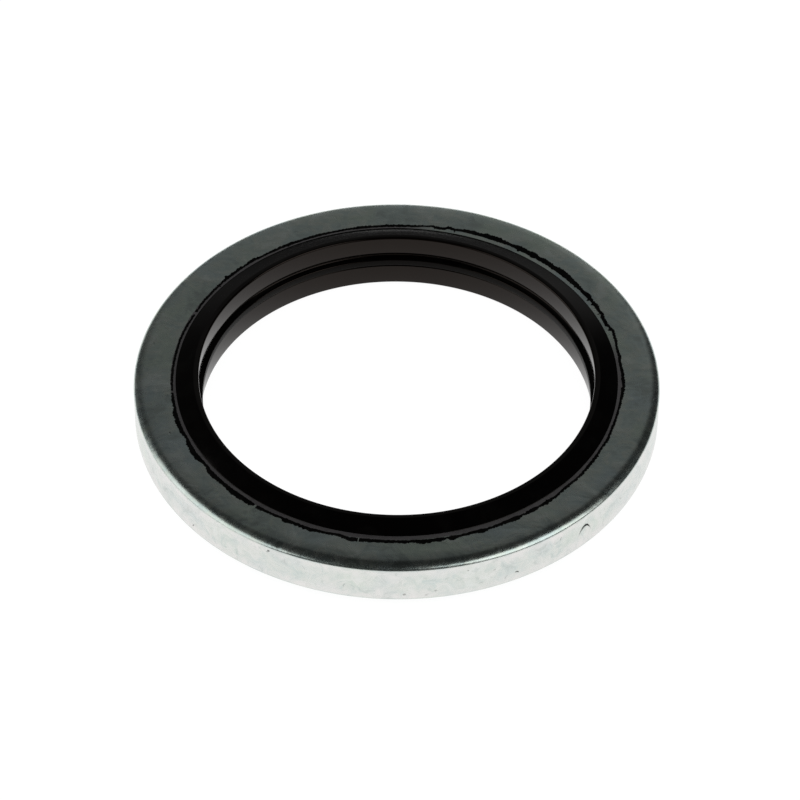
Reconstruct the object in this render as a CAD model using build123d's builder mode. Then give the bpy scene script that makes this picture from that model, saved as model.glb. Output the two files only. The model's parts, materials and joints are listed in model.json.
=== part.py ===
from build123d import *
import os

# Bonded sealing washer for a G 1/2 pipe thread: a flat steel ring with a nitrile rubber ring
# moulded and bonded into its bore. Millimetres, +Z up along the thread's axis, and the washer
# stands with its lower sealing lip on Z = 0. It is the same both ways up.

# Driving sizes, from the bore outwards
bore_diameter = 21.54  # of the rubber, at the crest of each lip
rubber_width = 1.27  # radial, from the bore out to the steel
metal_width = 2.31  # radial, from the rubber out to the rim
metal_thickness = 2.64

# Steel ring: stamped flat, then tumbled, which rounds its two outer edges
metal_edge_radius = 0.47

# Sealing lips: they slope up from the bond to a narrow flat crest beside the bore
lip_height = 0.37  # above the steel's face
lip_crest_width = 0.30
lip_outer_radius = 0.12
lip_inner_radius = 0.15

# Bore wall: straight down from each lip, then a groove on either side of a blunt rib at mid height
groove_opening = 1.18  # from the upper groove's outer edge to the lower one's
groove_edge_radius = 0.07
groove_depth = 0.21  # outside the bore diameter
groove_spacing = 0.58  # between the floors of the two grooves, across the rib
groove_floor_round = 0.08
rib_height = 0.18  # inside the bore diameter
rib_tip_width = 0.38
rib_tip_radius = 0.05

# Radii and heights that follow from them
bore_radius = bore_diameter / 2
bond_radius = bore_radius + rubber_width
rim_radius = bond_radius + metal_width
crest_outer_radius = bore_radius + lip_crest_width
groove_floor_radius = bore_radius + groove_depth
rib_tip_reach = bore_radius - rib_height
half_metal = metal_thickness / 2
half_seal = half_metal + lip_height

# A section is drawn from the axis outwards, with its own Y = 0 at the washer's mid height
section_plane = Plane.XZ.shift_origin((0, 0, half_seal))

# No rounding takes up more than this share of a face beside it
rounding_share = 0.45

with BuildPart() as metal_ring:
    with BuildSketch(section_plane) as ring_section:
        with Locations(((bond_radius + rim_radius) / 2, 0)):
            Rectangle(metal_width, metal_thickness)
        rim_corners = ring_section.vertices().group_by(Axis.X)[-1]
        fillet(rim_corners, min(metal_edge_radius, rounding_share * metal_thickness))
    revolve(axis=Axis.Z)
metal_ring.part.label = "metal_ring"

crest_inner_round = min(lip_inner_radius, rounding_share * lip_crest_width)
crest_outer_round = min(lip_outer_radius, rounding_share * lip_crest_width)
rib_round = min(rib_tip_radius, rounding_share * rib_tip_width)

with BuildPart() as rubber_seal:
    with BuildSketch(section_plane):
        with BuildLine():
            free_side = FilletPolyline(
                (bond_radius, half_metal),
                (crest_outer_radius, half_seal),
                (bore_radius, half_seal),
                (bore_radius, groove_opening / 2),
                (groove_floor_radius, groove_spacing / 2),
                (rib_tip_reach, rib_tip_width / 2),
                (rib_tip_reach, -rib_tip_width / 2),
                (groove_floor_radius, -groove_spacing / 2),
                (bore_radius, -groove_opening / 2),
                (bore_radius, -half_seal),
                (crest_outer_radius, -half_seal),
                (bond_radius, -half_metal),
                radius=[
                    crest_outer_round,
                    crest_inner_round,
                    groove_edge_radius,
                    groove_floor_round,
                    rib_round,
                    rib_round,
                    groove_floor_round,
                    groove_edge_radius,
                    crest_inner_round,
                    crest_outer_round,
                ],
            )
            Line(free_side @ 1, free_side @ 0)
        make_face()
    revolve(axis=Axis.Z)
rubber_seal.part.label = "rubber_seal"

os.makedirs("parts", exist_ok=True)
export_step(metal_ring.part, "parts/metal_ring.step")
export_step(rubber_seal.part, "parts/rubber_seal.step")
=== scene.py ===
import json
import math
import random
from collections import namedtuple

import bmesh
import bpy
from mathutils import Matrix, Vector, noise


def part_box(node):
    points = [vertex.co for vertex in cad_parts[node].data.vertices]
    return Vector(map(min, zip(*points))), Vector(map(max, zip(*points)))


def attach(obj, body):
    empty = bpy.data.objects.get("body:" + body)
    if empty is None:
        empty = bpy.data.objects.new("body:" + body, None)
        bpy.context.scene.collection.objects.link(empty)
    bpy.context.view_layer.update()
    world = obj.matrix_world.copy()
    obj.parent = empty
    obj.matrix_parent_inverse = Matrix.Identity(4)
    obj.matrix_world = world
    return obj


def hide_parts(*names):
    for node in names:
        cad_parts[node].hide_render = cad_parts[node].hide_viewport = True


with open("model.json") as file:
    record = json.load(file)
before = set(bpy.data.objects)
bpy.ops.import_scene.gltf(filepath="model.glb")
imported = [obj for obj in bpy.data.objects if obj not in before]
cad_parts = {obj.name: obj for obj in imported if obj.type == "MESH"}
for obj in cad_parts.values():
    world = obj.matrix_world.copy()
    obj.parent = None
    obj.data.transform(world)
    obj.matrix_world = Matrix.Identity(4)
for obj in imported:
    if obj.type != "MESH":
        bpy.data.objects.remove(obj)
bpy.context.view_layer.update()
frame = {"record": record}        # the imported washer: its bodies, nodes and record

# A bonded sealing washer lying on a pale table. Blender works in metres.
mm = 0.001
steelLow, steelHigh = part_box("metal_ring")
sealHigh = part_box("rubber_seal")[1]
mounts = {mount["name"]: mount for mount in frame["record"]["mounts"]}

rimInset = 0.02 * mm                 # the visible rim keeps this far inside the solid's
rimRadius = steelHigh.x - rimInset
bondRadius = sealHigh.x              # where the rubber meets the steel
ribRadius = mounts["bore"]["dims"]["r_mm"] * mm
midHeight = (steelLow.z + steelHigh.z) / 2
steelHalf = steelHigh.z - midHeight
sealHalf = sealHigh.z - midHeight
print("washer: rim, bond and rib at", [round(size / mm, 3) for size in (rimRadius, bondRadius, ribRadius)])


def nothingSelected():
    if bpy.context.object and bpy.context.object.mode != "OBJECT":
        bpy.ops.object.mode_set(mode="OBJECT")
    bpy.ops.object.select_all(action="DESELECT")


def startEdit(piece):
    nothingSelected()
    piece.select_set(True)
    bpy.context.view_layer.objects.active = piece
    bpy.ops.object.mode_set(mode="EDIT")
    bpy.ops.mesh.select_all(action="DESELECT")


def choose(piece, kind, wanted):
    # in edit mode: selects the verts, edges or faces that wanted() says yes to, and nothing else
    bpy.ops.mesh.select_mode(type=kind)
    bpy.ops.mesh.select_all(action="DESELECT")
    shape = bmesh.from_edit_mesh(piece.data)
    for part in {"VERT": shape.verts, "EDGE": shape.edges, "FACE": shape.faces}[kind]:
        if wanted(part):
            part.select_set(True)
    bmesh.update_edit_mesh(piece.data)


def finishPiece(piece, name, sharpAngle):
    # names the piece and shades it smooth, but for edges that turn by more than sharpAngle degrees
    nothingSelected()
    piece.select_set(True)
    bpy.context.view_layer.objects.active = piece
    bpy.ops.object.transform_apply(location=True, rotation=True, scale=True)
    bpy.ops.object.shade_smooth_by_angle(angle=math.radians(sharpAngle))
    piece.name = name
    piece.data.name = name
    return piece


def radiusOf(place):
    return math.hypot(place.x, place.y)


def azimuthOf(place):
    return math.degrees(math.atan2(place.y, place.x)) % 360


def near(value, target, room=0.004 * mm):
    return abs(value - target) < room


def turnBetween(first, second):
    # the smallest turn in degrees from one azimuth to another, with its sign
    return (second - first + 180) % 360 - 180


def smoothStep(share):
    share = min(1.0, max(0.0, share))
    return share * share * (3 - 2 * share)


def fadeOut(distance, reach, fullShare):
    # 1 as far as fullShare of the reach, then a soft fall to 0 at the reach
    return smoothStep((1 - distance / reach) / (1 - fullShare))


camera = {
    "elevation": 44.45,
    "roll": -0.503,
    "distance": 0.229,              # from the middle of the upper steel face
    "lens": 189.23,                 # mm
    "sensor": 36,                   # mm
    "sideways": 0.1754 * mm,        # how far the aim point is off that middle
    "raised": -1.2852 * mm,
    "clipStart": 0.01,
    "clipEnd": 20,
}


def placeCamera():
    elevation = math.radians(camera["elevation"])
    roll = math.radians(camera["roll"])
    right = Vector((1, 0, 0))
    up = Vector((0, math.sin(elevation), math.cos(elevation)))
    back = Vector((0, -math.cos(elevation), math.sin(elevation)))
    turnedRight = right * math.cos(roll) - up * math.sin(roll)
    turnedUp = right * math.sin(roll) + up * math.cos(roll)
    aim = Vector((0, 0, steelHigh.z)) + turnedRight * camera["sideways"] + turnedUp * camera["raised"]
    nothingSelected()
    bpy.ops.object.camera_add()
    made = bpy.context.object
    made.name = "camera"
    made.matrix_world = (Matrix.Translation(aim + back * camera["distance"])
                         @ Matrix((turnedRight, turnedUp, back)).transposed().to_4x4())
    made.data.lens = camera["lens"]
    made.data.sensor_width = camera["sensor"]
    made.data.clip_start = camera["clipStart"]
    made.data.clip_end = camera["clipEnd"]
    bpy.context.scene.camera = made


placeCamera()
print("camera placed")


class Wire:
    # one output socket, so that shader maths reads as maths

    def __init__(self, tree, socket):
        self.tree = tree
        self.socket = socket

    def mathsNode(self, operation, *values):
        made = self.tree.nodes.new("ShaderNodeMath")
        made.operation = operation
        for slot, value in zip(made.inputs, values):
            joinUp(self.tree, slot, value)
        return Wire(self.tree, made.outputs[0])

    def maths(self, operation, *others):
        # a maths node whose first value is this wire
        return self.mathsNode(operation, self, *others)

    def __add__(self, other):
        return self.maths("ADD", other)

    def __sub__(self, other):
        return self.maths("SUBTRACT", other)

    def __rsub__(self, other):
        return self.mathsNode("SUBTRACT", other, self)

    def __mul__(self, other):
        return self.maths("MULTIPLY", other)

    def __truediv__(self, other):
        return self.maths("DIVIDE", other)

    def __neg__(self):
        return self.maths("MULTIPLY", -1.0)

    def __abs__(self):
        return self.maths("ABSOLUTE")

    __radd__ = __add__
    __rmul__ = __mul__


def joinUp(tree, slot, value):
    if isinstance(value, Wire):
        tree.links.new(value.socket, slot)
    elif hasattr(value, "__len__") and len(value) == 3 and len(slot.default_value) == 4:
        slot.default_value = (*value, 1)
    else:
        slot.default_value = value


class Finish:
    # a material or a world, and its nodes

    def __init__(self, owner):
        owner.use_nodes = True
        self.tree = owner.node_tree
        self.tree.nodes.clear()

    def node(self, kind, settings=None, inputs=None, output=0):
        made = self.tree.nodes.new(kind)
        for name, value in (settings or {}).items():
            if name == "stops":
                while len(made.color_ramp.elements) < len(value):
                    made.color_ramp.elements.new(0.5)
                for stop, (place, colour) in zip(made.color_ramp.elements, value):
                    stop.position = place
                    stop.color = (*colour, 1)
            else:
                setattr(made, name, value)
        for name, value in (inputs or {}).items():
            joinUp(self.tree, made.inputs[name], value)
        return Wire(self.tree, made.outputs[output])

    def place(self):
        return self.node("ShaderNodeTexCoord", output="Object")

    def axis(self, vector, name):
        return self.node("ShaderNodeSeparateXYZ", inputs={0: vector}, output=name)

    def grain(self, size, detail=2.0, rough=0.5, where=None, bend=0.0):
        # cloudy noise from 0 to 1, with features about size metres across
        return self.node("ShaderNodeTexNoise", inputs={
            "Vector": where or self.place(), "Scale": 1 / size, "Detail": detail,
            "Roughness": rough, "Distortion": bend})

    def ease(self, value, low, high, lowOut=0.0, highOut=1.0):
        # 0 below low and 1 above high, with a soft change between
        return self.node("ShaderNodeMapRange", {"interpolation_type": "SMOOTHSTEP"}, {
            "Value": value, "From Min": low, "From Max": high, "To Min": lowOut, "To Max": highOut})

    def blend(self, share, first, second):
        made = self.tree.nodes.new("ShaderNodeMix")
        made.data_type = "RGBA"
        joinUp(self.tree, made.inputs["Factor"], share)
        joinUp(self.tree, made.inputs[6], first)      # the colour sockets, A and B
        joinUp(self.tree, made.inputs[7], second)
        return Wire(self.tree, made.outputs[2])

    def bump(self, height, distance, under=None):
        inputs = {"Height": height, "Distance": distance}
        if under:
            inputs["Normal"] = under
        return self.node("ShaderNodeBump", inputs=inputs)

    def surface(self, **sockets):
        made = self.tree.nodes.new("ShaderNodeBsdfPrincipled")
        for name, value in sockets.items():
            joinUp(self.tree, made.inputs[name.replace("_", " ")], value)
        return Wire(self.tree, made.outputs[0])

    def out(self, shader, kind="ShaderNodeOutputMaterial"):
        made = self.tree.nodes.new(kind)
        joinUp(self.tree, made.inputs["Surface"], shader)


zinc = {
    "cool": (0.505, 0.600, 0.575),
    "warm": (0.560, 0.610, 0.545),
    "green": (0.530, 0.630, 0.535),
    "blue": (0.490, 0.590, 0.605),
    "dull": (0.400, 0.455, 0.430),
    "pale": (0.640, 0.715, 0.680),
    "bright": (0.765, 0.750, 0.735),  # on the rim
    "stain": (0.280, 0.270, 0.275),   # on a strip beside the seal
    # painted shade, darkening the hollows of dents, nicks and pits
    "markPaintedShade": (0.03, 0.034, 0.032),
    # painted highlights, on the nick and on small raised bumps
    "markPaintedHighlight": (0.75, 0.80, 0.76),

    # sizes of the mottling
    "clouds": 2.4 * mm,
    "patches": 0.8 * mm,
    "tints": 3.4 * mm,
    "streaks": 1.1 * mm,
    "pits": 0.45 * mm,
    "fine": 0.10 * mm,
    "streakTurn": 0.9,                # radians
    "streakStretch": 5,

    # noise value where a tone starts, value where it is at its fullest, and its share there
    "warmWhere": (0.42, 0.60, 1.0),
    "greenWhere": (0.52, 0.70, 0.7),
    "blueWhere": (0.48, 0.30, 0.7),
    "dullWhere": (0.50, 0.36, 0.90),
    "paleWhere": (0.50, 0.64, 0.95),
    "pitsWhere": (0.58, 0.70, 1.0),

    # the bright rim, by the depth below the nearer face, and how much brighter a painted reflection makes
    # it near its edges
    "rimStarts": 0.15 * mm,
    "rimFull": 0.40 * mm,
    "rimShare": 0.52,
    "rimUneven": 1.2,
    "rimPitShare": 0.28,
    "paintedReflectionEnds": 1.1 * mm,
    "paintedReflectionFull": 0.3 * mm,
    "paintedReflectionShare": 0.30,
    "paintedReflectionUneven": 1.6 * mm,

    # the stained strip, and the stretch of it that is clean
    "stainWidth": 0.25 * mm,
    "stainFades": 0.05 * mm,
    "stainUneven": 0.12 * mm,
    "cleanFrom": 12,                  # degrees
    "cleanTo": 84,
    "cleanFades": 6,

    "roughness": 0.27,
    "roughPatches": 0.14,
    "roughFine": 0.04,
    "fineBump": 0.0003 * mm,
    "patchBump": 0.003 * mm,
    "cloudBump": 0.035 * mm,
}


def makeZinc():
    made = bpy.data.materials.new("zincPlating")
    f = Finish(made)
    place = f.place()
    depth = steelHalf - abs(f.axis(place, "Z") - midHeight)
    flat = f.node("ShaderNodeVectorMath", {"operation": "MULTIPLY"}, {0: place, 1: (1, 1, 0)})
    radius = f.node("ShaderNodeVectorMath", {"operation": "LENGTH"}, {0: flat}, "Value")
    azimuth = f.axis(place, "Y").maths("ARCTAN2", f.axis(place, "X")) * (180 / math.pi)
    # the ring's mark attribute: painted shade in dents above 0, painted highlights below 0
    mark = f.node("ShaderNodeAttribute", {"attribute_name": "mark"}, output="Fac")

    clouds = f.grain(zinc["clouds"], 3, 0.55, bend=0.6)
    patches = f.grain(zinc["patches"], 4, 0.6, bend=1.2)
    tints = f.grain(zinc["tints"], 2, 0.5, bend=0.4)
    fine = f.grain(zinc["fine"], 2, 0.6)
    pitting = f.grain(zinc["pits"], 3, 0.6)
    slant = f.node("ShaderNodeMapping", inputs={
        "Vector": place, "Rotation": (0, 0, zinc["streakTurn"]), "Scale": (1, zinc["streakStretch"], 1)})
    streaks = f.grain(zinc["streaks"], 3, 0.6, slant, 0.5)
    shade = clouds * 0.45 + patches * 0.40 + streaks * 0.15

    def where(value, name):
        start, full, share = zinc[name + "Where"]
        return f.ease(value, start, full, 0.0, share)

    colour = f.blend(where(clouds * 0.5 + patches * 0.5, "warm"), zinc["cool"], zinc["warm"])
    for value, name in ((tints, "green"), (tints, "blue"), (shade, "dull"), (shade, "pale")):
        colour = f.blend(where(value, name), colour, zinc[name])

    onRim = f.ease(depth, zinc["rimStarts"], zinc["rimFull"])
    # painted reflection: the rim's colour is made lighter near its rounded edges
    paintedEdgeReflection = f.ease(depth + (clouds - 0.5) * zinc["paintedReflectionUneven"], zinc["paintedReflectionEnds"], zinc["paintedReflectionFull"])
    bright = paintedEdgeReflection * zinc["paintedReflectionShare"] + zinc["rimShare"] + (patches - 0.5) * zinc["rimUneven"]
    colour = f.blend(onRim * bright, colour, zinc["bright"])
    colour = f.blend(where(pitting, "pits") * onRim * zinc["rimPitShare"], colour, zinc["dull"])

    stainEnds = bondRadius + zinc["stainWidth"]
    stained = f.ease(radius + (patches - 0.5) * zinc["stainUneven"],
                     stainEnds + zinc["stainFades"], stainEnds)
    fades = zinc["cleanFades"]
    clean = (f.ease(azimuth, zinc["cleanFrom"] - fades, zinc["cleanFrom"] + fades)
             * f.ease(azimuth, zinc["cleanTo"] + fades, zinc["cleanTo"] - fades))
    colour = f.blend(stained * (1.0 - clean), colour, zinc["stain"])
    # painted shade in the hollows of the dents
    colour = f.blend(f.ease(mark, 0.0, 1.0), colour, zinc["markPaintedShade"])
    # painted highlights on the nick and on raised bumps
    colour = f.blend(f.ease(-mark, 0.0, 1.0), colour, zinc["markPaintedHighlight"])

    roughness = (zinc["roughness"] + (patches - 0.5) * zinc["roughPatches"]
                 + (fine - 0.5) * zinc["roughFine"])
    normal = f.bump(fine, zinc["fineBump"])
    normal = f.bump(patches, zinc["patchBump"], normal)
    normal = f.bump(clouds, zinc["cloudBump"], normal)
    f.out(f.surface(Base_Color=colour, Metallic=1.0, Roughness=roughness, Normal=normal))
    return made


# The seal is glossy and browner in its bore, dull on the rib's tip, and matt on the film.
nitrile = {
    "moulded": {"colour": (0.0006, 0.0005, 0.0005), "dusty": (0.0012, 0.0011, 0.0010),
                "tint": (1.0, 0.93, 0.86), "specular": 0.20, "roughness": 0.11},
    "cored": {"colour": (0.0012, 0.0007, 0.0005), "dusty": (0.0020, 0.0014, 0.0011),
              "tint": (1.0, 0.82, 0.72), "specular": 0.20, "roughness": 0.11},
    "trimmed": {"colour": (0.0011, 0.0010, 0.0009), "dusty": (0.0020, 0.0018, 0.0016),
                "tint": (1.0, 0.90, 0.82), "specular": 0.06, "roughness": 0.42},
    "torn": {"colour": (0.0008, 0.0008, 0.0008), "dusty": (0.0020, 0.0019, 0.0018),
             "tint": (1.0, 1.0, 1.0), "specular": 0.03, "roughness": 0.60},
    "flow": 1.4 * mm,               # sizes of the flow marks and the grain
    "fine": 0.07 * mm,
    "dustyWhere": (0.45, 0.70),
    "roughFlow": 0.05,
    "roughFine": 0.03,
    "fineBump": 0.0003 * mm,
}


def makeNitrile(state):
    look = nitrile[state]
    made = bpy.data.materials.new(state + "Rubber")
    f = Finish(made)
    flow = f.grain(nitrile["flow"], 3, 0.55, bend=0.5)
    fine = f.grain(nitrile["fine"], 2, 0.6)
    colour = f.blend(f.ease(flow, *nitrile["dustyWhere"]), look["colour"], look["dusty"])
    roughness = (look["roughness"] + (flow - 0.5) * nitrile["roughFlow"]
                 + (fine - 0.5) * nitrile["roughFine"])
    f.out(f.surface(Base_Color=colour, Roughness=roughness, Normal=f.bump(fine, nitrile["fineBump"]),
                    Specular_Tint=look["tint"], Specular_IOR_Level=look["specular"]))
    return made


zincPlating = makeZinc()
mouldedRubber = makeNitrile("moulded")
coredRubber = makeNitrile("cored")
trimmedRubber = makeNitrile("trimmed")
tornRubber = makeNitrile("torn")
print("materials made")


ring = {
    "sides": 480,
    "edgeWidth": 0.60 * mm,         # of the rounded outer edges, across the face
    "edgeHeight": 0.285 * mm,       # and down the rim
    "edgeSteps": 16,
    "faceCuts": 14,
    "rimCuts": 9,
    "rollWidth": 1.10 * mm,         # in from the rim, where the face is drawn down a little
    "rollDepth": 0.034 * mm,
    "rollFades": 0.50 * mm,         # down the rim, below the rounding
    "waviness": 0.004 * mm,
    "waveLength": 2.4 * mm,
    "markCuts": 5,                  # extra cuts where a mark is
    "markRoom": 0.1,                # mm, cut finer round a mark too
    "rimSkin": 0.2 * mm,            # a mark only reaches this far below the surface it is on
    "faceSkin": 0.15 * mm,
}

# handling marks, dents whose colour adds painted shade in their hollows and painted highlights: side
# ("top", "bottom" or "rim"), azimuth in degrees, height or radius in mm, length and width in mm, turn in
# degrees, depth in mm, shade (over 0 dark, painted shade; under 0 light, painted highlight), bow in mm
Mark = namedtuple("Mark", "side azimuth place length width turn depth shade bow")

placedMarks = [
    # the nick's hollow is darkened with painted shade
    ("rim", 314.5, 1.69, 1.10, 0.20, 0, 0.070, 1.4, 0.75),      # crescent nick
    # the nick's painted highlight, a light patch beside it
    ("rim", 314.6, 1.38, 0.20, 0.17, 20, 0.010, -0.9, 0.0),
    ("rim", 296.6, 1.16, 0.37, 0.14, -20, 0.025, 0.81, 0.10),
    ("rim", 294.2, 1.05, 0.44, 0.14, 60, 0.015, 0.36, 0.12),
    ("rim", 291.4, 1.90, 0.26, 0.17, 30, 0.015, 0.36, 0.0),
    ("rim", 307.6, 2.22, 0.40, 0.12, 75, 0.015, 0.45, 0.05),
    ("rim", 303.2, 1.92, 1.10, 0.09, 4, 0.008, 0.2, -0.10),
    ("rim", 288.4, 1.12, 0.40, 0.14, 0, 0.012, 0.29, 0.14),
    ("rim", 278.6, 1.14, 0.24, 0.20, 30, 0.020, 0.43, 0.0),
    ("rim", 272.0, 0.98, 0.26, 0.23, 20, 0.020, 0.5, 0.0),
    ("rim", 276.6, 0.86, 0.24, 0.14, 0, 0.015, 0.36, 0.0),
    ("rim", 259.4, 1.40, 0.46, 0.13, 70, 0.015, 0.36, 0.10),
    ("rim", 250.4, 2.10, 0.48, 0.12, -55, 0.012, 0.25, 0.08),
    ("rim", 246.2, 2.20, 0.55, 0.12, 85, 0.012, 0.25, 0.0),
    ("rim", 242.4, 2.52, 0.22, 0.14, 0, 0.020, 0.81, 0.0),
    ("rim", 221.4, 1.04, 0.29, 0.12, 55, 0.020, 0.72, 0.0),
    ("rim", 326.8, 1.72, 0.55, 0.12, -40, 0.012, 0.36, 0.0),
    ("rim", 285.5, 2.30, 0.13, 0.14, 0, 0.012, 0.45, 0.0),
    ("top", 200.4, 12.97, 0.17, 0.12, 0, 0.015, 0.45, 0.0),
    ("top", 162.2, 13.60, 0.16, 0.08, -20, -0.004, -0.22, 0.0),
    ("top", 164.4, 12.99, 0.16, 0.13, 0, -0.004, -0.22, 0.0),
    ("top", 187.0, 12.52, 0.18, 0.12, 0, -0.004, -0.20, 0.0),
    ("top", 254.2, 13.32, 0.40, 0.06, 78, 0.006, 0.20, 0.0),
    ("top", 169.9, 13.57, 0.26, 0.14, 0, 0.006, 0.14, 0.0),
    ("top", 105.4, 13.36, 0.36, 0.08, 80, 0.006, 0.14, 0.0),
    ("top", 353.8, 14.00, 0.30, 0.08, 12, 0.006, -0.35, 0.0),
]


def scatteredMarks():
    # the rest of the rim and the lower face have marks of the same kinds
    dice = random.Random(7)
    made = []
    for count in range(22):
        azimuth = -30 + count * 240 / 22 + dice.uniform(-4, 4)
        height = dice.uniform(0.9, 2.5)
        length = dice.uniform(0.18, 0.5)
        width = dice.uniform(0.07, 0.13)
        turn = dice.uniform(-80, 80)
        depth = dice.uniform(0.010, 0.022)
        shade = dice.uniform(0.12, 0.35)
        bow = dice.choice((0.0, 0.0, 0.1))
        made.append(("rim", azimuth, height, length, width, turn, depth, shade, bow))
    for count in range(14):
        azimuth = count * 360 / 14 + dice.uniform(-9, 9)
        radius = dice.uniform(12.8, 13.7)
        length = dice.uniform(0.14, 0.4)
        width = dice.uniform(0.06, 0.12)
        turn = dice.uniform(-80, 80)
        depth = dice.uniform(0.005, 0.012)
        shade = dice.choice((0.2, 0.3, -0.2))
        made.append(("bottom", azimuth, radius, length, width, turn, depth, shade, 0.0))
    return made


def inMarkFrame(mark, point):
    # the point's place along and across a mark, in mm, or None if it is on another side
    if mark.side == "rim":
        if radiusOf(point) < rimRadius - ring["rimSkin"]:
            return None
        along = math.radians(turnBetween(mark.azimuth, azimuthOf(point))) * rimRadius / mm
        across = point.z / mm - mark.place
    else:
        level = steelHigh.z if mark.side == "top" else steelLow.z
        if abs(point.z - level) > ring["faceSkin"]:
            return None
        along = math.radians(turnBetween(mark.azimuth, azimuthOf(point))) * mark.place
        across = radiusOf(point) / mm - mark.place
    turned = math.radians(mark.turn)
    lengthways = along * math.cos(turned) + across * math.sin(turned)
    sideways = across * math.cos(turned) - along * math.sin(turned)
    return lengthways, sideways + mark.bow * (2 * lengthways / mark.length) ** 2 - mark.bow / 2


def markWeight(mark, point):
    # 1 along the middle of the mark and 0 outside it
    spot = inMarkFrame(mark, point)
    if spot is None:
        return 0.0
    return fadeOut(abs(spot[0]), mark.length / 2, 1 / 3) * fadeOut(abs(spot[1]), mark.width / 2, 1 / 5)


def nearMark(mark, point):
    spot = inMarkFrame(mark, point)
    if spot is None:
        return False
    return (abs(spot[0]) < mark.length * 0.75 + ring["markRoom"]
            and abs(spot[1]) < mark.width + abs(mark.bow) + ring["markRoom"])


def drawnDown(point):
    # the height of a point of the ring once its rounding is flattened and its face drawn down
    side = 1 if point.z > midHeight else -1
    depth = steelHalf - abs(point.z - midHeight)
    wide = ring["edgeWidth"]
    high = ring["edgeHeight"]
    if depth < wide:
        depth *= high / wide
    else:
        depth = steelHalf - (steelHalf - depth) * (steelHalf - high) / (steelHalf - wide)
    share = (radiusOf(point) - rimRadius) / ring["rollWidth"] + 1
    fade = 1 - smoothStep((depth - high) / ring["rollFades"])
    return midHeight + side * (steelHalf - depth - ring["rollDepth"] * smoothStep(share) * fade)


def buildSteelRing():
    nothingSelected()
    bpy.ops.mesh.primitive_cylinder_add(vertices=ring["sides"], radius=rimRadius, depth=2 * steelHalf,
                                        end_fill_type="NGON", location=(0, 0, midHeight))
    piece = bpy.context.object
    bpy.ops.object.transform_apply(location=True, rotation=False, scale=False)
    startEdit(piece)

    # the hole
    choose(piece, "FACE", lambda face: abs(face.normal.z) > 0.9)
    bpy.ops.mesh.inset(thickness=rimRadius - bondRadius)
    bpy.ops.mesh.bridge_edge_loops()

    # rounded outer edges
    def outerCorner(edge):
        a, b = (v.co for v in edge.verts)
        return near(a.z, b.z) and near(radiusOf(a), rimRadius) and near(radiusOf(b), rimRadius)
    choose(piece, "EDGE", outerCorner)
    bpy.ops.mesh.bevel(offset=ring["edgeWidth"], segments=ring["edgeSteps"], profile=0.5, affect="EDGES")

    # even rows of faces to carry the waviness and the marks
    def acrossFace(edge):
        a, b = (v.co for v in edge.verts)
        return near(a.z, b.z) and abs(radiusOf(a) - radiusOf(b)) > 1 * mm
    choose(piece, "EDGE", acrossFace)
    bpy.ops.mesh.subdivide(number_cuts=ring["faceCuts"])

    def downRim(edge):
        a, b = (v.co for v in edge.verts)
        return abs(a.z - b.z) > 1 * mm and radiusOf(a) > rimRadius - 0.01 * mm
    choose(piece, "EDGE", downRim)
    bpy.ops.mesh.subdivide(number_cuts=ring["rimCuts"])

    marks = [Mark(*row) for row in placedMarks + scatteredMarks()]
    choose(piece, "FACE", lambda face: any(nearMark(mark, face.calc_center_median()) for mark in marks))
    bpy.ops.mesh.subdivide(number_cuts=ring["markCuts"])

    shape = bmesh.from_edit_mesh(piece.data)
    for vertex in shape.verts:
        vertex.co.z = drawnDown(vertex.co)
    shape.normal_update()
    # each vertex's mark value: painted shade in a dent's hollow over 0, painted highlight under 0
    shade = shape.verts.layers.float.new("mark")
    for vertex in shape.verts:
        start = vertex.co.copy()
        outward = vertex.normal.copy()
        if radiusOf(start) < bondRadius + 0.05 * mm:
            continue
        along = start / ring["waveLength"]
        wave = noise.noise(along) + 0.5 * noise.noise(along * 2.7)
        sink = ring["waviness"] * (0.75 - 0.5 * wave)
        for mark in marks:
            weight = markWeight(mark, start)
            if weight > 0:
                sink += mark.depth * mm * weight
                vertex[shade] += mark.shade * weight
        vertex.co = start - outward * max(sink, 0)
    bmesh.update_edit_mesh(piece.data)
    bpy.ops.object.mode_set(mode="OBJECT")
    return finishPiece(piece, "metalRing", 50)


metalRing = buildSteelRing()
metalRing.data.materials.append(zincPlating)
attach(metalRing, "root")
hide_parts("metal_ring")
print("steel ring:", len(metalRing.data.polygons), "faces")


seal = {
    "sides": 480,
    "footWidth": 0.03 * mm,
    "footSink": 0.03 * mm,          # beside the steel, where the rubber lies a little low
    "footRadius": 0.03 * mm,
    "crestWidth": 0.30 * mm,
    "crestRadius": 0.12 * mm,       # round the outside of the crest
    "boreEdgeRadius": 0.10 * mm,
    "boreRadius": 10.77 * mm,
    "upperGroove": 0.59 * mm,       # from mid height to the groove's outer edge
    "lowerGroove": 0.42 * mm,
    "grooveEdgeRadius": 0.07 * mm,
    "grooveDepth": 0.21 * mm,
    "grooveHalfSpacing": 0.29 * mm,  # from mid height to each groove's floor
    "grooveFloorRadius": 0.08 * mm,
    "ribHalfWidth": 0.19 * mm,
    "ribEdgeRadius": 0.05 * mm,
    "steps": 5,                     # in each rounding
}


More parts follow.
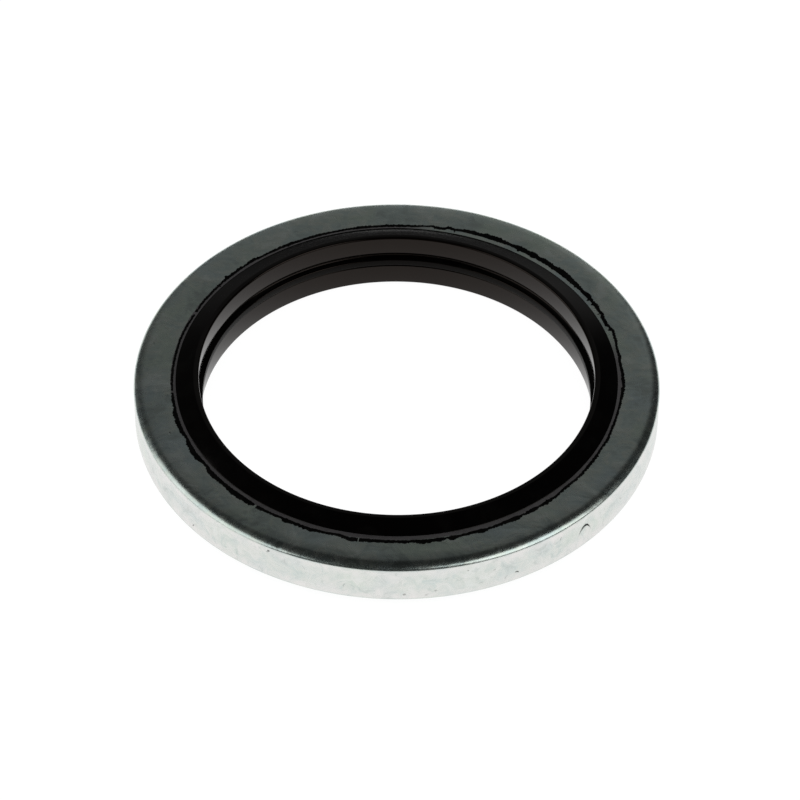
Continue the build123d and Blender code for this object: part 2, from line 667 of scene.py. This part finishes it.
def buildRubberSeal():
    slopeTop = seal["boreRadius"] + seal["crestWidth"]
    grooveFloor = seal["boreRadius"] + seal["grooveDepth"]
    bondHalf = steelHalf - seal["footSink"]
    nothingSelected()
    bpy.ops.mesh.primitive_cylinder_add(vertices=seal["sides"], radius=bondRadius, depth=2 * bondHalf,
                                        end_fill_type="NGON", location=(0, 0, midHeight))
    piece = bpy.context.object
    bpy.ops.object.transform_apply(location=True, rotation=False, scale=False)
    startEdit(piece)

    # foot, slope and crest of both lips, then the bore with six rings in its wall
    choose(piece, "FACE", lambda face: abs(face.normal.z) > 0.9)
    bpy.ops.mesh.inset(thickness=seal["footWidth"], depth=steelHalf - bondHalf)
    bpy.ops.mesh.inset(thickness=bondRadius - seal["footWidth"] - slopeTop, depth=sealHalf - steelHalf)
    bpy.ops.mesh.inset(thickness=seal["crestWidth"])
    bpy.ops.mesh.bridge_edge_loops(number_cuts=6, interpolation="LINEAR")

    # each ring goes to a corner of a groove or the rib
    halves = [(1, seal["upperGroove"]), (-1, seal["lowerGroove"])]
    for side, groove in halves:
        for startsAt, radius, height in ((sealHalf * 5 / 7, seal["boreRadius"], groove),
                                         (sealHalf * 3 / 7, grooveFloor, seal["grooveHalfSpacing"]),
                                         (sealHalf * 1 / 7, ribRadius, seal["ribHalfWidth"])):
            choose(piece, "VERT", lambda v: near(v.co.z, midHeight + side * startsAt)
                   and near(radiusOf(v.co), seal["boreRadius"], 0.01 * mm))
            grow = radius / seal["boreRadius"]
            bpy.ops.transform.resize(value=(grow, grow, 1))
            bpy.ops.transform.translate(value=(0, 0, side * (height - startsAt)))

    # every corner is rounded by its own radius
    for side, groove in halves:
        profile = [
            (bondRadius, bondHalf),
            (bondRadius - seal["footWidth"], steelHalf),
            (slopeTop, sealHalf),
            (seal["boreRadius"], sealHalf),
            (seal["boreRadius"], groove),
            (grooveFloor, seal["grooveHalfSpacing"]),
            (ribRadius, seal["ribHalfWidth"]),
            (ribRadius, -seal["ribHalfWidth"]),
        ]
        rounding = [seal[name] for name in ("footRadius", "crestRadius", "boreEdgeRadius",
                                            "grooveEdgeRadius", "grooveFloorRadius", "ribEdgeRadius")]
        for before, corner, after, roundness in zip(profile, profile[1:], profile[2:], rounding):
            inwards = Vector(corner) - Vector(before)
            onwards = Vector(after) - Vector(corner)
            offset = roundness * math.tan(inwards.angle(onwards) / 2)

            def onCorner(edge):
                return all(near(radiusOf(v.co), corner[0], 0.006 * mm)
                           and near(side * (v.co.z - midHeight), corner[1]) for v in edge.verts)
            choose(piece, "EDGE", onCorner)
            bpy.ops.mesh.bevel(offset=offset, segments=seal["steps"], profile=0.5, affect="EDGES")

    # the bore's wall and the rib's tip have looks of their own
    def within(face, radius):
        return all(radiusOf(v.co) < radius + 0.01 * mm for v in face.verts)

    def inBore(face):
        return abs(face.normal.z) < 0.9 and within(face, grooveFloor)

    def onRibTip(face):
        return within(face, ribRadius)
    for rubber in (mouldedRubber, trimmedRubber, coredRubber):
        piece.data.materials.append(rubber)
    for wanted, rubberIndex in ((inBore, 2), (onRibTip, 1)):
        choose(piece, "FACE", wanted)
        piece.active_material_index = rubberIndex
        bpy.ops.object.material_slot_assign()
    bpy.ops.object.mode_set(mode="OBJECT")
    return finishPiece(piece, "rubberSeal", 60)


rubberSeal = buildRubberSeal()
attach(rubberSeal, "root")
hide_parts("rubber_seal")
print("rubber seal:", len(rubberSeal.data.polygons), "faces")


# a thin film of rubber over the steel beside the seal, on both faces
flash = {
    "sides": 240,
    "cuts": 9,                      # between those sides
    "around": 12,
    "startRadius": 12.38 * mm,      # of the ring that it is bent from, and how thick that is
    "startThickness": 0.1 * mm,
    "height": 0.035 * mm,
    "sunk": 0.004 * mm,             # how far its underside lies in the steel
    "gapDepth": 0.05 * mm,          # it dips this far into the steel where it has a gap
    "thinWidth": 0.10,              # mm, where it is narrower than this it is lower too
    "leastWidth": 0.02,             # mm
    "bumps": 45,                    # to a radian of its length
    "measuredAt": 12.4,             # mm, the radius at which lengths round it are true
    "toothLength": 0.11,            # mm
    "roughEdge": 0.065,             # mm
    "spread": 0.042,                # mm, on each side of the path
    # azimuth in degrees, inner and outer radius in mm
    "path": [
        (0, 12.27, 12.37), (4, 12.24, 12.32), (6.5, 12.22, 12.30), (7.8, 12.26, 12.38),
        (9.5, 12.25, 12.31), (12, 12.28, 12.34), (14, 12.35, 12.43), (16, 12.38, 12.46),
        (17.5, 12.42, 12.51), (19, 12.36, 12.44), (20, 12.23, 12.39), (23, 12.25, 12.41),
        (24.2, 12.36, 12.48), (26, 12.33, 12.45), (28, 12.34, 12.53), (29.5, 12.35, 12.48),
        (32, 12.33, 12.58), (34.5, 12.34, 12.49), (38, 12.31, 12.57), (42.5, 12.31, 12.66),
        (46.5, 12.33, 12.57), (49.5, 12.32, 12.62), (50.6, 12.33, 12.55), (52.5, 12.30, 12.66),
        (54.5, 12.33, 12.58), (56.5, 12.32, 12.64), (59.4, 12.38, 12.52), (63.5, 12.33, 12.66),
        (66.5, 12.33, 12.64), (68.2, 12.34, 12.52), (70, 12.33, 12.59), (72.5, 12.34, 12.52),
        (73.4, 12.35, 12.44), (75, 12.32, 12.43), (76.8, 12.34, 12.51), (78, 12.22, 12.36),
        (79.8, 12.22, 12.36), (81, 12.33, 12.42), (83, 12.29, 12.34), (86, 12.21, 12.29),
        (90, 12.18, 12.30), (96, 12.18, 12.28), (100, 12.18, 12.32), (103, 12.20, 12.26),
        (108, 12.20, 12.26), (112, 12.17, 12.30), (117, 12.18, 12.26), (119, 12.18, 12.32),
        (123, 12.19, 12.30), (128, 12.21, 12.26), (131.6, 12.24, 12.38), (134.5, 12.24, 12.30),
        (136, 12.22, 12.36), (139, 12.20, 12.32), (142, 12.22, 12.29), (150, 12.20, 12.26),
        (158, 12.17, 12.21), (167, 12.20, 12.25), (170, 12.18, 12.22), (180, 12.20, 12.26),
        (186, 12.22, 12.25), (189, 12.21, 12.31), (192, 12.21, 12.29), (194, 12.23, 12.41),
        (200, 12.25, 12.42), (203.5, 12.21, 12.29), (206, 12.24, 12.42), (208.6, 12.25, 12.50),
        (211.3, 12.24, 12.46), (213.5, 12.22, 12.31), (217.5, 12.26, 12.47), (222, 12.26, 12.43),
        (227, 12.25, 12.52), (231.3, 12.27, 12.49), (232.6, 12.30, 12.40), (234.5, 12.29, 12.45),
        (236.6, 12.30, 12.39), (240.5, 12.28, 12.37), (242.4, 12.27, 12.52), (244, 12.29, 12.43),
        (248.9, 12.33, 12.51), (252, 12.34, 12.43), (255.8, 12.28, 12.41), (259.2, 12.38, 12.59),
        (263, 12.34, 12.52), (270, 12.35, 12.49), (272.6, 12.37, 12.54), (274, 12.37, 12.47),
        (277, 12.37, 12.62), (279.3, 12.38, 12.54), (281, 12.35, 12.57), (282.5, 12.40, 12.45),
        (283.8, 12.35, 12.60), (286, 12.37, 12.48), (289.3, 12.33, 12.42), (291.2, 12.32, 12.57),
        (293.5, 12.38, 12.45), (298.5, 12.30, 12.47), (300.5, 12.28, 12.53), (303, 12.35, 12.40),
        (306, 12.28, 12.46), (308, 12.34, 12.40), (310, 12.30, 12.47), (313.5, 12.34, 12.39),
        (317, 12.25, 12.34), (323, 12.28, 12.35), (328, 12.22, 12.32), (334, 12.22, 12.27),
        (337.5, 12.24, 12.33), (341, 12.21, 12.27), (346, 12.21, 12.25), (352, 12.23, 12.30),
        (355, 12.26, 12.36), (357.5, 12.31, 12.39),
    ],
    # shreds and beads: azimuth in degrees, then in mm the least and greatest radius they reach, and width
    "shreds": [
        (15.0, 12.29, 12.40, 0.14), (18.1, 12.22, 12.40, 0.16), (24.6, 12.12, 12.40, 0.04),
        (28.5, 12.20, 12.53, 0.12), (30.5, 12.17, 12.50, 0.10), (32.0, 12.35, 12.62, 0.12),
        (36.5, 12.20, 12.50, 0.10), (38.3, 12.23, 12.50, 0.10), (45.4, 12.24, 12.55, 0.14),
        (52.4, 12.22, 12.60, 0.20), (56.6, 12.18, 12.62, 0.16), (68.0, 12.32, 12.50, 0.10),
        (74.9, 12.12, 12.40, 0.07), (80.3, 12.13, 12.36, 0.05), (86.6, 12.10, 12.32, 0.05),
        (91.2, 12.12, 12.39, 0.05), (91.9, 12.16, 12.37, 0.05), (92.6, 12.12, 12.39, 0.05),
        (93.3, 12.16, 12.38, 0.05), (109.6, 12.10, 12.30, 0.07), (114.6, 12.12, 12.32, 0.12),
        (120.5, 12.07, 12.30, 0.10), (129.0, 12.18, 12.30, 0.08), (140.6, 12.23, 12.49, 0.20),
        (144.4, 12.08, 12.25, 0.07), (225.0, 12.20, 12.45, 0.06), (226.6, 12.18, 12.55, 0.07),
        (230.4, 12.25, 12.56, 0.08), (242.3, 12.24, 12.54, 0.14), (259.3, 12.36, 12.62, 0.10),
        (275.1, 12.29, 12.60, 0.06), (276.5, 12.33, 12.64, 0.10), (278.5, 12.36, 12.62, 0.08),
        (280.5, 12.31, 12.55, 0.08), (283.4, 12.33, 12.62, 0.12), (291.3, 12.31, 12.59, 0.14),
        (295.4, 12.29, 12.48, 0.14), (298.4, 12.29, 12.49, 0.14), (300.4, 12.24, 12.55, 0.12),
        (304.4, 12.24, 12.48, 0.12), (310.6, 12.20, 12.45, 0.10), (356.3, 12.20, 12.30, 0.16),
    ],
    # azimuth in degrees and width in mm
    "gaps": [(156.4, 0.20), (186.3, 0.14), (233.2, 0.14), (261.1, 0.06)],
}


def alongPath(path, azimuth):
    # the inner and outer radius at an azimuth, eased from one place to the next, and closed at 360
    for first, second in zip(path, path[1:] + [(path[0][0] + 360, *path[0][1:])]):
        if first[0] <= azimuth <= second[0]:
            share = smoothStep((azimuth - first[0]) / (second[0] - first[0]))
            return [a + (b - a) * share for a, b in zip(first[1:], second[1:])]
    return list(path[0][1:])


def filmEdges(azimuth, onCircle):
    # the film's inner and outer radius in mm, and how much of its thickness is there
    def distanceTo(place):
        return abs(turnBetween(place, azimuth)) * math.radians(flash["measuredAt"])

    inner, outer = alongPath(flash["path"], azimuth)
    around = onCircle * (flash["measuredAt"] / flash["toothLength"])
    outer += flash["spread"] + flash["roughEdge"] * (noise.noise(around) + 0.7 * noise.noise(around * 2.3))
    inner -= flash["spread"] + flash["roughEdge"] * 0.6 * noise.noise(around + Vector((5, 0, 0)))
    for place, least, greatest, width in flash["shreds"]:
        weight = fadeOut(distanceTo(place), width * 0.7, 2 / 7)
        inner += (min(inner, least) - inner) * weight
        outer += (max(outer, greatest) - outer) * weight
    there = 1.0
    for place, width in flash["gaps"]:
        there *= 1 - fadeOut(distanceTo(place), width * 0.75, 1 / 3)
    return inner, max(outer, inner + flash["leastWidth"]), there


def buildFlash(name, level, side, turn, seed):
    nothingSelected()
    middle = flash["startRadius"]
    thick = flash["startThickness"]
    bpy.ops.mesh.primitive_torus_add(major_segments=flash["sides"], minor_segments=flash["around"],
                                     major_radius=middle, minor_radius=thick, location=(0, 0, level))
    piece = bpy.context.object
    bpy.ops.object.transform_apply(location=True, rotation=False, scale=False)
    startEdit(piece)
    choose(piece, "EDGE", lambda edge: abs(turnBetween(*(azimuthOf(v.co) for v in edge.verts))) > 0.5)
    bpy.ops.mesh.subdivide(number_cuts=flash["cuts"])

    shape = bmesh.from_edit_mesh(piece.data)
    for vertex in shape.verts:
        azimuth = azimuthOf(vertex.co)
        across = (radiusOf(vertex.co) - middle) / thick
        lift = side * (vertex.co.z - level) / thick
        onCircle = Vector((math.cos(math.radians(azimuth)), math.sin(math.radians(azimuth)), seed))
        inner, outer, there = filmEdges((azimuth + turn) % 360, onCircle)
        radius = inner + (outer - inner) * (across + 1) / 2
        vertex.co.x = radius * mm * onCircle.x
        vertex.co.y = radius * mm * onCircle.y
        height = -flash["sunk"]
        if lift > 0:
            bumpy = 0.75 + 0.5 * noise.noise(onCircle * flash["bumps"] + Vector((0, 9, 0)))
            height = flash["height"] * bumpy * min(1, (outer - inner) / flash["thinWidth"]) * lift
        vertex.co.z = level + side * (height - (1 - there) * flash["gapDepth"])
    bmesh.update_edit_mesh(piece.data)
    bpy.ops.object.mode_set(mode="OBJECT")
    finishPiece(piece, name, 70)
    piece.data.materials.append(tornRubber)
    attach(piece, "root")
    return piece


# the lower face's film follows the same path, turned, with small teeth of its own
upperFlash = buildFlash("upperFlash", steelHigh.z, 1, 0, 3)
lowerFlash = buildFlash("lowerFlash", steelLow.z, -1, 137, 11)
print("flash:", len(upperFlash.data.polygons) + len(lowerFlash.data.polygons), "faces")


table = {
    "size": 0.17,                   # m, a white sheet
    "diffuse": 0.80,
    "paintedWhite": 0.12,           # how much of the light on it the camera and the gloss see
    "glow": 0.94,                   # the rest of the white that they see
}

lamps = [
    # name, where (m), width, height, watts, seen in gloss
    ("overhead", (0.0, 0.0, 0.45), 0.60, 0.60, 1.75, False),
    ("leftBox", (-0.4221, -0.0744, 0.2575), 0.554, 0.456, 0.95, True),
    ("rightBox", (0.3167, -0.1829, 0.3410), 0.40, 0.39, 0.78, True),
]


def buildTable():
    nothingSelected()
    bpy.ops.mesh.primitive_plane_add(size=table["size"], location=(0, 0, 0))
    piece = bpy.context.object
    piece.name = "table"
    made = bpy.data.materials.new("tablePaint")
    f = Finish(made)
    white = f.node("ShaderNodeBsdfDiffuse", inputs={"Color": (table["diffuse"],) * 3})
    seenWhite = f.node("ShaderNodeBsdfDiffuse", inputs={"Color": (table["paintedWhite"],) * 3})
    glow = f.node("ShaderNodeEmission", inputs={"Color": (1, 1, 1), "Strength": table["glow"]})
    seen = f.node("ShaderNodeAddShader", inputs={0: seenWhite, 1: glow})
    straight, glossy, through = (f.node("ShaderNodeLightPath", output=name)
                                 for name in ("Is Camera Ray", "Is Glossy Ray", "Is Transmission Ray"))
    seeing = straight.maths("MAXIMUM", glossy).maths("MAXIMUM", through)
    f.out(f.node("ShaderNodeMixShader", inputs={0: seeing, 1: white, 2: seen}))
    piece.data.materials.append(made)


def buildLamps():
    for name, place, width, height, watts, glossy in lamps:
        nothingSelected()
        bpy.ops.object.light_add(type="AREA", location=place)
        lamp = bpy.context.object
        lamp.name = name
        lamp.data.shape = "RECTANGLE"
        lamp.data.size = width
        lamp.data.size_y = height
        lamp.data.energy = watts
        lamp.rotation_euler = (-Vector(place)).to_track_quat("-Z", "Y").to_euler()
        lamp.visible_camera = False
        lamp.visible_glossy = glossy


# the room, as brightness by the sine of the elevation
sky = {
    "behind": [(0.0, 0.07), (0.08, 0.11), (0.22, 0.20), (0.45, 0.18), (0.60, 0.16), (0.67, 0.15),
               (0.73, 0.14), (0.77, 0.08), (0.82, 0.025), (0.88, 0.01), (1.0, 0.005)],
    "beside": [(0.0, 0.30), (0.05, 0.12), (0.17, 0.03), (0.80, 0.015), (1.0, 0.005)],
    "front": [(0.0, 0.20), (0.10, 0.14), (0.25, 0.075), (0.50, 0.035), (0.85, 0.008), (1.0, 0.005)],
    # how far a direction leans back, forward or left before the room there counts, and counts in full
    "behindWhere": (0.86, 0.97),
    "frontWhere": (0.55, 0.85),
    "leftWhere": (-0.1, 0.5),
    "leftGain": 0.8,                # how much of its own brightness the left side gains
    "behindLeft": 0.7,              # times as bright
    "behindRight": 1.3,
    "behindTurns": 0.35,            # from the middle to where those two are reached
}


def buildSky():
    world = bpy.data.worlds.new("room")
    bpy.context.scene.world = world
    f = Finish(world)
    direction = f.node("ShaderNodeTexCoord", output="Generated")
    x, y, z = (f.axis(direction, name) for name in "XYZ")
    flat = (x * x + y * y).maths("SQRT")

    def ramp(name):
        stops = [(place, (bright,) * 3) for place, bright in sky[name]]
        return f.node("ShaderNodeValToRGB", {"stops": stops}, {0: z})

    def times(colour, gain):
        return f.node("ShaderNodeVectorMath", {"operation": "SCALE"}, {0: colour, "Scale": gain})

    turns = sky["behindTurns"]
    behind = times(ramp("behind"), f.ease(x, -turns, turns, sky["behindLeft"], sky["behindRight"]))
    beside = times(ramp("beside"), f.ease(-x / flat, *sky["leftWhere"]) * sky["leftGain"] + 1.0)
    colour = f.blend(f.ease(y / flat, *sky["behindWhere"]), beside, behind)
    colour = f.blend(f.ease(-y / flat, *sky["frontWhere"]), colour, ramp("front"))
    room = f.node("ShaderNodeBackground", inputs={"Color": colour, "Strength": 1.0})
    white = f.node("ShaderNodeBackground", inputs={"Color": (1, 1, 1), "Strength": 1.0})
    seen = f.node("ShaderNodeLightPath", output="Is Camera Ray")
    f.out(f.node("ShaderNodeMixShader", inputs={0: seen, 1: room, 2: white}), "ShaderNodeOutputWorld")


buildTable()
buildLamps()
buildSky()
bpy.context.scene.view_settings.view_transform = "Standard"
print("table, lamps and sky made")
